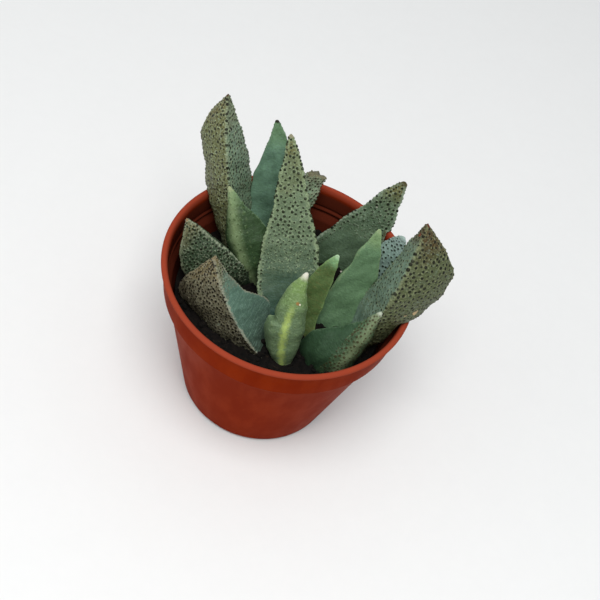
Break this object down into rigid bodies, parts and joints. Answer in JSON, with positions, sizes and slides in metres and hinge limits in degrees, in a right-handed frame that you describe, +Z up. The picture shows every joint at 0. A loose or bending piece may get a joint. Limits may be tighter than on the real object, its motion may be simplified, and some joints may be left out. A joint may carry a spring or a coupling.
{
  "type": "potted aloinopsis orpenii",
  "caption": "Small clump-forming succulent with thick keeled leaves, many of them covered in dark tubercles, growing in soil in a tapered round plastic nursery pot.",
  "frame": {"origin": "centre of the flat underside of the pot", "axes": "+Z up, out of the pot; -Y towards the viewer of the picture; +X to the viewer's right"},
  "size_m": [0.0609, 0.055, 0.0663],
  "materials": {
    "pot_plastic": "satin terracotta-brown",
    "potting_soil": "dark crumbly",
    "root_skin": "rough tan",
    "leaf_warty": "waxy grey-green with dark dots",
    "leaf_smooth": "waxy green"
  },
  "bodies": {
    "root": {"pot": "pot_plastic", "soil": "potting_soil", "rootstock": "root_skin", "leaf_young_front": "leaf_smooth", "leaf_young_inner": "leaf_smooth", "leaf_short_right": "leaf_smooth", "leaf_front_right": "leaf_smooth", "leaf_young_left": "leaf_smooth", "leaf_tall_centre": "leaf_warty", "leaf_front_left": "leaf_warty", "leaf_large_right": "leaf_warty", "leaf_side_left": "leaf_warty", "leaf_tall_left": "leaf_warty", "leaf_back_smooth": "leaf_smooth", "leaf_back_right": "leaf_warty", "leaf_small_right": "leaf_warty", "leaf_back_centre": "leaf_warty"}
  },
  "joints": []
}
